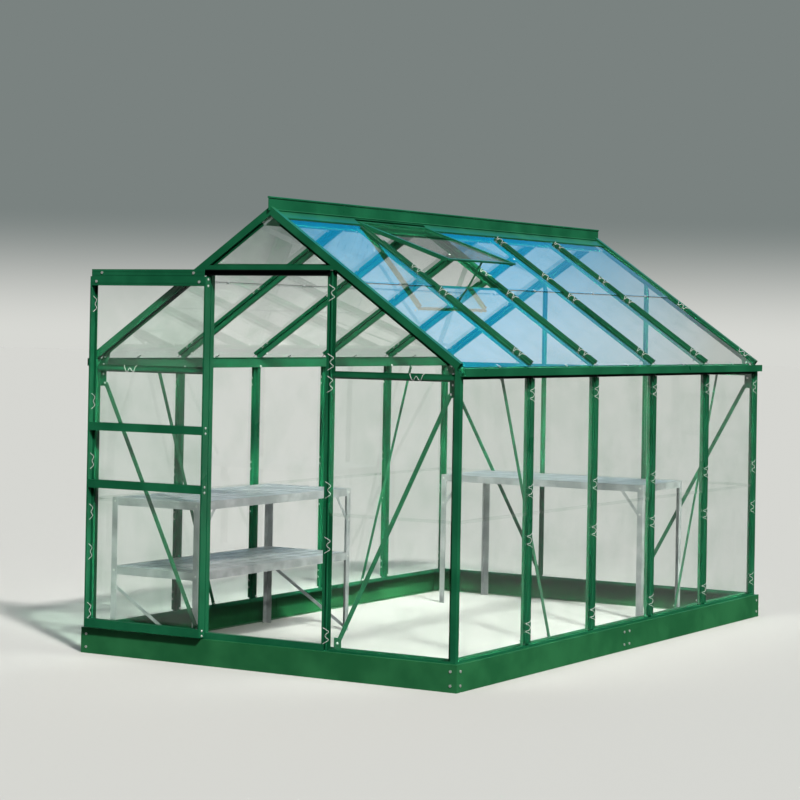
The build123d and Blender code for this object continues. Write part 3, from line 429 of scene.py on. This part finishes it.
WIRE_RADIUS = 0.95
WIRE_SIDES = 6
WIRE_TURN = np.arange(WIRE_SIDES) * 2 * math.pi / WIRE_SIDES
WIRE = WIRE_RADIUS * np.stack([np.cos(WIRE_TURN), np.sin(WIRE_TURN)], -1)
ON_GLASS = GLASS + WIRE_RADIUS
OVER_WALL = WALL_TOP + WIRE_RADIUS
OVER_POST = SEAT_DEPTH + WIRE_RADIUS
OVER_STRIP = STRIP_DEPTH + WIRE_RADIUS
CLIP_ALONG = (-36, -18, 0, 18, 36)
CLIP_ACROSS = (-19, 19.5, -8, 19.5, -19)
CLIP_STEPS, CLIP_ROUNDING = 34, 5
NARROW = 0.7


def rounded(zigzag):
    """The zigzag with round corners: each value is the mean of those within two steps of it."""
    padded = np.pad(zigzag, CLIP_ROUNDING // 2, "edge")
    return np.convolve(padded, np.ones(CLIP_ROUNDING) / CLIP_ROUNDING, "valid")


def wire_clips(places, flips, over, heights, lap=math.inf, top=math.inf):
    """W clips: across is flip times a rounded zigzag of the distance along, and height is a function of the
    zigzag. On an upper pane, between the heights lap and top, it is at least the lifted wire's height."""
    along = np.linspace(CLIP_ALONG[0], CLIP_ALONG[-1], CLIP_STEPS)
    zigzag = rounded(np.interp(along, CLIP_ALONG, CLIP_ACROSS))
    across = zigzag * flips[:, None]
    lifts = np.where((places[:, 0, 2] > lap) & (places[:, 0, 2] < top), LAP_LIFT, 0.0)
    height = np.maximum(np.interp(zigzag, over, heights), ON_GLASS + lifts[:, None])
    local = np.stack([np.broadcast_to(along, across.shape), across, height], -1)
    return carried(placed(local, places), WIRE, places[:, 2])


def mirrored_flips(places):
    """Flip of each clip, so that a mirrored place carries a mirrored clip."""
    return np.where(places[:, 0, 0] > 0, 1.0, -1.0)


lap_z = SEAT_APEX - LEAN * SLOPE_LAP
wall_clip_z = (201.0, 581.0, 794.0, 1215.0)
rear_clip_z = (*wall_clip_z, 1500.0)
stud_clip_z = (180.0, 565.0, 800.0, 1250.0, 1345.0, 1640.0)
slope_clip_at, rafter_clip_at = (112.0, 430.0, 610.0, 1070.0), (640.0, 1075.0)
vent_reach, corner_y = 200.0, HOUSE_LENGTH - 27.5
level_clip = (751.0, SEAT_DEPTH, 1291.0)

# Over each kind of bar the wire's height follows the zigzag: its values in bar_over and the like have the
# heights in bar_rise and the like. The glazing bars of the walls and slopes, with a pane on both sides
bar_over, bar_rise = (-14.5, -11.2, 11.2, 14.0), (ON_GLASS, OVER_WALL, OVER_WALL, ON_GLASS)
wall_clips = both_sides(rows([[SEAT_X, y, z] for y in BAR_LINES for z in wall_clip_z], Z, X))
slope_spots = [slope_point(distance, y) for y in BAR_LINES for distance in slope_clip_at]
slope_clips = both_sides(rows(slope_spots, SLOPE_UP, SLOPE_OUT))
slope_clips = slope_clips[~(beside_vent(slope_clips) & (slope_clips[:, 0, 0] < vent_reach))]
rear_clips = both_sides(rows([[REAR_BAR_X, REAR_SEAT_Y, z] for z in rear_clip_z], Z, Y))
clip_shapes = [
    wire_clips(clips, mirrored_flips(clips), bar_over, bar_rise, lap)
    for clips, lap in ((wall_clips, WALL_LAP), (slope_clips, lap_z), (rear_clips, WALL_LAP))
]

# The door posts: over the post's wall, its lip and rib, and down to the pane beside it
stud_over = np.array([-6.6, -4.0, 4.2, 8.0]) / NARROW
stud_rise = (OVER_POST, OVER_STRIP, OVER_STRIP, ON_GLASS)
stud_clips = both_sides(rows([[STUD_X, SEAT_DEPTH, z] for z in stud_clip_z], Z, -Y))
stud_flips = -NARROW * mirrored_flips(stud_clips)
clip_shapes.append(wire_clips(stud_clips, stud_flips, stud_over, stud_rise, WALL_LAP, EAVES))

# The rear corner posts and rafters: over the face, and down to the pane beside it
post_over, post_rise = np.array([-1.0, 0.5, 8.0]) / NARROW, (OVER_POST, OVER_POST, ON_GLASS)
post_clips = both_sides(rows([[SEAT_X, corner_y, z] for z in wall_clip_z], Z, X))
rafter_spots = [slope_point(distance, corner_y) for distance in rafter_clip_at]
rafter_clips = both_sides(rows(rafter_spots, SLOPE_UP, SLOPE_OUT))
clip_shapes += [
    wire_clips(clips, NARROW * mirrored_flips(clips), post_over, post_rise, lap)
    for clips, lap in ((post_clips, WALL_LAP), (rafter_clips, lap_z))
]

# The level bars of the front gable: over the strip, with a pane below and above
level_over, level_rise = (-13.0, -9.7, 9.7, 13.0), (ON_GLASS, OVER_STRIP, OVER_STRIP, ON_GLASS)
level_clips = both_sides(rows([level_clip], X, -Y))
clip_shapes.append(wire_clips(level_clips, -mirrored_flips(level_clips), level_over, level_rise))
piece("glazing_clips", "house", spring_wire, clip_shapes)

# Clips on the door: the wire lies on the glass in the recess and its ends bear on the stile's inner wall

STILE_WALL = 8.0
RECESS_SHARES, RECESS_REACH, RECESS_RISE, RECESS_FALL = (0.0, 1.0, 0.35, 1.0, 0.0), 11.0, 15.0, 1.5
door_clip_z = (195.0, 460.0, 640.0, 870.0, 1140.0, 1580.0)


def recess_clips(places, flips):
    """W clips in a corner: the reach from the stile is a rounded zigzag of the distance along, and the height
    falls from the ends, which stand off the glass, to the points, which press on it."""
    along = np.linspace(CLIP_ALONG[0], CLIP_ALONG[-1], CLIP_STEPS)
    share = rounded(np.interp(along, CLIP_ALONG, RECESS_SHARES))
    across = -(WIRE_RADIUS + RECESS_REACH * share) * flips[:, None]
    height = np.broadcast_to(WIRE_RADIUS + RECESS_RISE * (1 - share) ** RECESS_FALL, across.shape)
    local = np.stack([np.broadcast_to(along, across.shape), across, height], -1)
    return carried(placed(local, places), WIRE, places[:, 2])


stile_walls = (DOOR_LEFT + STILE_WALL, DOOR_RIGHT - STILE_WALL)
door_clips = rows([[x, DOOR_GLASS, z] for x in stile_walls for z in door_clip_z], Z, -Y)
door_flips = np.repeat([1.0, -1.0], len(door_clip_z))
piece("door_clips", "door", spring_wire, [recess_clips(door_clips, door_flips)])

# Bent strips that hold each upper pane at the lap, and each lower pane at the eaves; a path is (along, out)

STRIP = flat_section(6.0, 0.4)
LAP_PATH = [(3, -0.7), (12.7, -0.7), (12.7, 3.1), (-0.7, 3.2), (-0.7, 6.9), (6.5, 6.8)]
STOP_PATH = [(22, -0.7), (-0.7, -0.7), (-0.7, 3.8), (9, 3.7)]
BEND_STEPS = 6


def bent_strips(places, path):
    """Flat strip carried along a path in the plane of along and out, with short steps on each side of a bend:
    a point is path + u side + v up, with side the same all along and up = tangent x side."""
    path = np.array(path, float)
    steps = np.linspace(0, len(path) - 1, BEND_STEPS * (len(path) - 1) + 1)
    flat = np.stack([np.interp(steps, np.arange(len(path)), path[:, i]) for i in (0, 1)], -1)
    local = np.stack([flat[:, 0], 0 * steps, flat[:, 1]], -1)
    line = placed(local[None], places)
    along = np.gradient(line, axis=1)
    along /= np.linalg.norm(along, axis=2, keepdims=True)
    side = np.cross(places[:, 2], places[:, 1])[:, None] + 0 * line
    up = np.cross(along, side)
    rings = line[:, :, None] + STRIP[:, :1] * side[:, :, None] + STRIP[:, 1:] * up[:, :, None]
    points = np.concatenate([line[:, :1], rings.reshape(len(places), -1, 3), line[:, -1:]], 1)
    return points, tube_faces(len(steps), len(STRIP))


lap_spots = [slope_point(ROOF_EDGE - ROOF_PANE + PANE_LAP, y) for y in BAY_MIDDLES]
right_laps = rows(np.delete(lap_spots, VENT_BAY, axis=0), SLOPE_UP, SLOPE_OUT)
left_laps = both_sides(rows(lap_spots, SLOPE_UP, SLOPE_OUT))[len(lap_spots):]
stops = both_sides(rows([slope_point(ROOF_EDGE, y) for y in BAY_MIDDLES], SLOPE_UP, SLOPE_OUT))
strip_shapes = [bent_strips(laps, LAP_PATH) for laps in (right_laps, left_laps)]
strip_shapes.append(bent_strips(stops, STOP_PATH))
piece("lap_strips", "house", silver, strip_shapes, smooth=False)

# Black strips under the gutter, one length in each bay: painted shadow of the gutter on the side panes

SHADOW_STRIP_CLEARANCE, SHADOW_STRIP_GAP, SHADOW_STRIP_END = 0.2, 4.0, 30.0
SHADOW_STRIP_X, SHADOW_STRIP_Z = SEAT_X + GLASS + LAP_LIFT + SHADOW_STRIP_CLEARANCE, 1292.3
SHADOW_STRIP_SECTION = np.array([[-6.2, 0.0], [6.2, 0.0], [6.2, 2.4], [5.4, 3.2], [-5.0, 3.2], [-6.2, 2.0]])
bay_ends = np.array([SHADOW_STRIP_END, *BAR_LINES, HOUSE_LENGTH - SHADOW_STRIP_END])
shadow_strip_lengths = np.tile(np.diff(bay_ends), 2) - 2 * SHADOW_STRIP_GAP
shadow_strip_starts = both_sides(rows([[SHADOW_STRIP_X, y + SHADOW_STRIP_GAP, SHADOW_STRIP_Z] for y in bay_ends[:-1]], Y, X))
shadow_strip_lines = np.array([[0.0, 0.0, 0.0], [1.0, 0.0, 0.0]]) * shadow_strip_lengths[:, None, None]
shadow_strip_shape = carried(placed(shadow_strip_lines, shadow_strip_starts), SHADOW_STRIP_SECTION, shadow_strip_starts[:, 2])
piece("eaves_painted_shadow_strips", "house", painted_shadow_finish, [shadow_strip_shape])

# Bolts: domed heads, and hexagon nuts on a bolt end

HEAD = turned([(0, 0), (5.6, 0), (5.6, 0.6), (4.9, 1.7), (3.2, 2.7), (0, 3.1)], sides=10)
NUT = turned([(0, 0), (5.0, 0), (5.7, 0.5), (5.7, 4.3), (5.0, 4.9), (0, 4.9)], sides=6)
TAIL = turned([(0, 4.9), (2.9, 4.9), (2.9, 8.6), (2.4, 9.2), (0, 9.2)], sides=8)


def heads(places):
    """Domed bolt heads: the turned head at each place."""
    return [(placed(HEAD[0][None], places), HEAD[1])]


def nuts(places):
    """Hexagon nuts with the end of the bolt: both turned shapes at each place."""
    return [(placed(shape[0][None], places), shape[1]) for shape in (NUT, TAIL)]


BRACKET = 2.0
EAVES_NUT_Z, FOOT_NUT_UP = 1291.0, 24.0
SLOPE_FOOT_NUT, SLOPE_HEAD_NUT = 1088.0, 66.0
APEX_NUT_X, APEX_NUT_DOWN = 32.0, 20.0
gusset_spots = [(909.0, 1342.0), (917.0, 1306.0), (918.0, 1263.0), (908.0, 1223.0)]
front_foot_spot = (371.0, PLATE_FRONT, 150.0)
brace_x, brace_head_z, brace_foot_z = 918.0, 1282.0, 139.0
brace_spots = [
    (brace_x, 436.0, brace_head_z), (brace_x, 910.0, brace_foot_z),
    (brace_x, 2734.0, brace_head_z), (brace_x, 2260.0, brace_foot_z),
]
bar_back = SEAT_X - BAR_DEPTH

# Nuts on the backs of the bars, heads and nuts on the plates in the corners of the gables, and the braces' ends
eaves_nuts = both_sides(rows([[bar_back - BRACKET, y, EAVES_NUT_Z] for y in BAR_LINES], Z, -X))
foot_nuts = both_sides(rows([[bar_back, y, SILL_TOP + FOOT_NUT_UP] for y in BAR_LINES], Z, -X))
bar_foot_spots = [slope_point(SLOPE_FOOT_NUT, y, -BAR_DEPTH) for y in BAR_LINES]
bar_head_spots = [slope_point(SLOPE_HEAD_NUT, y, -BAR_DEPTH) for y in BAR_LINES]
bar_foot_nuts, bar_head_nuts = (
    both_sides(rows(spots, SLOPE_UP, -SLOPE_OUT)) for spots in (bar_foot_spots, bar_head_spots)
)
gusset_heads = both_gables(both_sides(rows([[x, PLATE_FRONT, z] for x, z in gusset_spots], Z, -Y)))
gusset_nuts = both_gables(both_sides(rows([[x, PLATE_BACK, z] for x, z in gusset_spots[:3]], Z, Y)))
apex_nut_z = ROOF_APEX - APEX_NUT_X * SLOPE - APEX_NUT_DOWN
apex_nuts = both_gables(both_sides(rows([[APEX_NUT_X, PLATE_BACK, apex_nut_z]], Z, Y)))
front_feet = both_sides(rows([front_foot_spot], Z, -Y))
brace_nuts = both_sides(rows(brace_spots, Z, -X))
frame_bolts = heads(gusset_heads) + heads(front_feet)
for places in (gusset_nuts, apex_nuts, eaves_nuts, foot_nuts, bar_foot_nuts, bar_head_nuts, brace_nuts):
    frame_bolts += nuts(places)
piece("frame_bolts", "house", zinc, frame_bolts, smooth=False)

# The bolts in the vent frame's lower corners

VENT_BOLT_UP, VENT_BOLT_IN = 7.0, 13.0
vent_way = np.array([math.cos(VENT_TURN), 0, -math.sin(VENT_TURN)])
vent_out = np.array([math.sin(VENT_TURN), 0, math.cos(VENT_TURN)])
vent_foot = np.array([VENT_HINGE[0], 0, VENT_HINGE[1]]) + vent_way * (VENT_LENGTH - VENT_BOLT_UP)
vent_corners = [vent_foot + Y * y for y in (BAR_LINES[0] + VENT_BOLT_IN, BAR_LINES[1] - VENT_BOLT_IN)]
piece("vent_bolts", "house", zinc, heads(rows(vent_corners, -vent_way, vent_out)), smooth=False)

# The screws through the door's stiles into its rails, two at each end of a rail

SCREW_Y = -26.0
stile_z = (1693.0, 1665.0, 1040.0, 1016.0, 781.0, 757.0, 152.0, 130.0)
stile_screws = np.concatenate([
    rows([[DOOR_RIGHT, SCREW_Y, z] for z in stile_z], Z, X),
    rows([[DOOR_LEFT, SCREW_Y, z] for z in stile_z], Z, -X),
])
piece("door_screws", "door", zinc, heads(stile_screws), smooth=False)

# The bolts on the legs of the staging, at the deck, the shelf and the knee of the braces

LEG_MIDDLE = 15.0
DECK_Z, SHELF_Z, KNEE_Z = 682.0, 367.0, 546.0
stage_x = (STAGE_LEFT + LEG_MIDDLE, STAGE_RIGHT - LEG_MIDDLE)
stage_y = (STAGE_START + LEG_MIDDLE, STAGE_END - LEG_MIDDLE)
rear_stage_x = (REAR_STAGE_X0 + LEG_MIDDLE, REAR_STAGE_X1 - LEG_MIDDLE)
stage_side = [[STAGE_RIGHT, y, z] for y in stage_y for z in (DECK_Z, SHELF_Z, KNEE_Z)]
stage_front = [[x, STAGE_START, z] for x in stage_x for z in (DECK_Z, SHELF_Z)]
stage_back = [[x, STAGE_END, z] for x in stage_x for z in (DECK_Z, SHELF_Z)]
rear_stage = [[x, REAR_STAGE_Y, z] for x in rear_stage_x for z in (DECK_Z, KNEE_Z)]
stage_bolts = []
for spots, out in ((stage_side, X), (stage_front, -Y), (stage_back, Y), (rear_stage, -Y)):
    stage_bolts += heads(rows(spots, Z, out))
piece("staging_bolts", "house", zinc, stage_bolts, smooth=False)


def camera():
    """The photograph's viewpoint: its ways forward, right and up from the azimuth, the tilt and the roll."""
    turn, tilt, roll = (math.radians(CAMERA[key]) for key in ("azimuth", "tilt_up", "roll"))
    level_way = (-math.sin(turn) * math.cos(tilt), math.cos(turn) * math.cos(tilt))
    forward = np.array([*level_way, math.sin(tilt)])
    level = np.array([math.cos(turn), math.sin(turn), 0.0])
    rise = np.cross(level, forward)
    right = level * math.cos(roll) + rise * math.sin(roll)
    up = rise * math.cos(roll) - level * math.sin(roll)
    data = bpy.data.cameras.new("photo_camera")
    data.sensor_width = SENSOR
    data.lens = CAMERA["focal_pixels"] / PHOTO_PIXELS * data.sensor_width
    data.shift_x = 0.5 - CAMERA["axis_pixel"][0] / PHOTO_PIXELS
    data.shift_y = CAMERA["axis_pixel"][1] / PHOTO_PIXELS - 0.5
    data.clip_start, data.clip_end = 0.1, 200.0
    made = bpy.data.objects.new("photo_camera", data)
    bpy.context.collection.objects.link(made)
    place = np.array(CAMERA["place"]) * MM + np.array([0, FRONT, 0])
    world = np.eye(4)
    world[:3] = np.stack([right, up, -forward, place], -1)
    made.matrix_world = Matrix(world.tolist())
    bpy.context.scene.camera = made


def floor():
    """Plain pale floor, which shows its own tone and gives back less light than that to what stands on it."""
    lowest = BOX[0][2]
    ground = bpy.data.meshes.new("floor")
    corners = [(x * FLOOR_REACH, y * FLOOR_REACH, lowest) for x, y in ((-1, -1), (1, -1), (1, 1), (-1, 1))]
    ground.from_pydata(corners, [], [(0, 1, 2, 3)])
    made = bpy.data.objects.new("floor", ground)
    bpy.context.collection.objects.link(made)
    finish, tree, out = material("pale_floor")
    bounced = node(tree, "ShaderNodeLightPath").outputs["Diffuse Depth"]
    colour = ramp(tree, bounced, 0.0, 1.0, "#CBCBC8", "#6A6B68")
    shader = node(tree, "ShaderNodeBsdfDiffuse", Color=colour)
    tree.links.new(shader.outputs[0], out.inputs[0])
    ground.materials.append(finish)
    made.visible_glossy = False


def surroundings():
    """Room that goes from the floor's tone to grey and to a pale lid, darker where it is mirrored, with a patch
    of sky for the roof. Light that has passed through glass counts as seen, not as mirrored."""
    world = bpy.data.worlds.new("studio")
    bpy.context.scene.world = world
    world.use_nodes = True
    tree = world.node_tree
    tree.nodes.clear()
    way = node(tree, "ShaderNodeTexCoord").outputs["Generated"]
    height = node(tree, "ShaderNodeSeparateXYZ", i0=way).outputs[2]
    wall = ramp(tree, height, *HORIZON, "#D7D8D3", "#7A8280")
    lid = node(tree, "ShaderNodeMapRange", Value=height, From_Min=LID[0], From_Max=LID[1]).outputs[0]
    room = node(tree, "ShaderNodeMix", {"data_type": "RGBA"},
                i0=lid, i6=wall, i7=linear("#DDE2E6")).outputs[2]
    screen = ramp(tree, height, *SCREEN, "#343A37", "#DDE2E6")
    light_path = node(tree, "ShaderNodeLightPath").outputs
    mirrored = node(tree, "ShaderNodeMath", {"operation": "SUBTRACT"},
                    i0=light_path["Is Glossy Ray"], i1=light_path["Is Transmission Ray"]).outputs[0]
    colour = node(tree, "ShaderNodeMix", {"data_type": "RGBA"}, i0=mirrored, i6=room, i7=screen).outputs[2]
    toward = node(tree, "ShaderNodeVectorMath", {"operation": "DOT_PRODUCT"},
                  i0=way, i1=SKY_PATCH).outputs["Value"]
    inside = node(tree, "ShaderNodeMapRange",
                  Value=toward, From_Min=SKY_EDGE[0], From_Max=SKY_EDGE[1]).outputs[0]
    colour = node(tree, "ShaderNodeMix", {"data_type": "RGBA"}, i0=inside, i6=colour, i7=SKY_BLUE).outputs[2]
    strength = node(tree, "ShaderNodeMapRange",
                    Value=light_path["Diffuse Depth"], To_Min=1.0, To_Max=BOUNCED_STRENGTH).outputs[0]
    back = node(tree, "ShaderNodeBackground", Color=colour, Strength=strength)
    tree.links.new(back.outputs[0], node(tree, "ShaderNodeOutputWorld").inputs[0])


def key_light():
    """One broad light from the front right and above."""
    data = bpy.data.lights.new("key_light", "SUN")
    data.energy, data.angle, data.color = KEY_STRENGTH, math.radians(KEY_SPREAD), linear("#FFFDF8")[:3]
    key = bpy.data.objects.new("key_light", data)
    bpy.context.collection.objects.link(key)
    key.rotation_euler = Vector(KEY_FROM).to_track_quat("Z", "Y").to_euler()


camera()
floor()
surroundings()
key_light()
scene = bpy.context.scene
scene.view_settings.view_transform = "Standard"
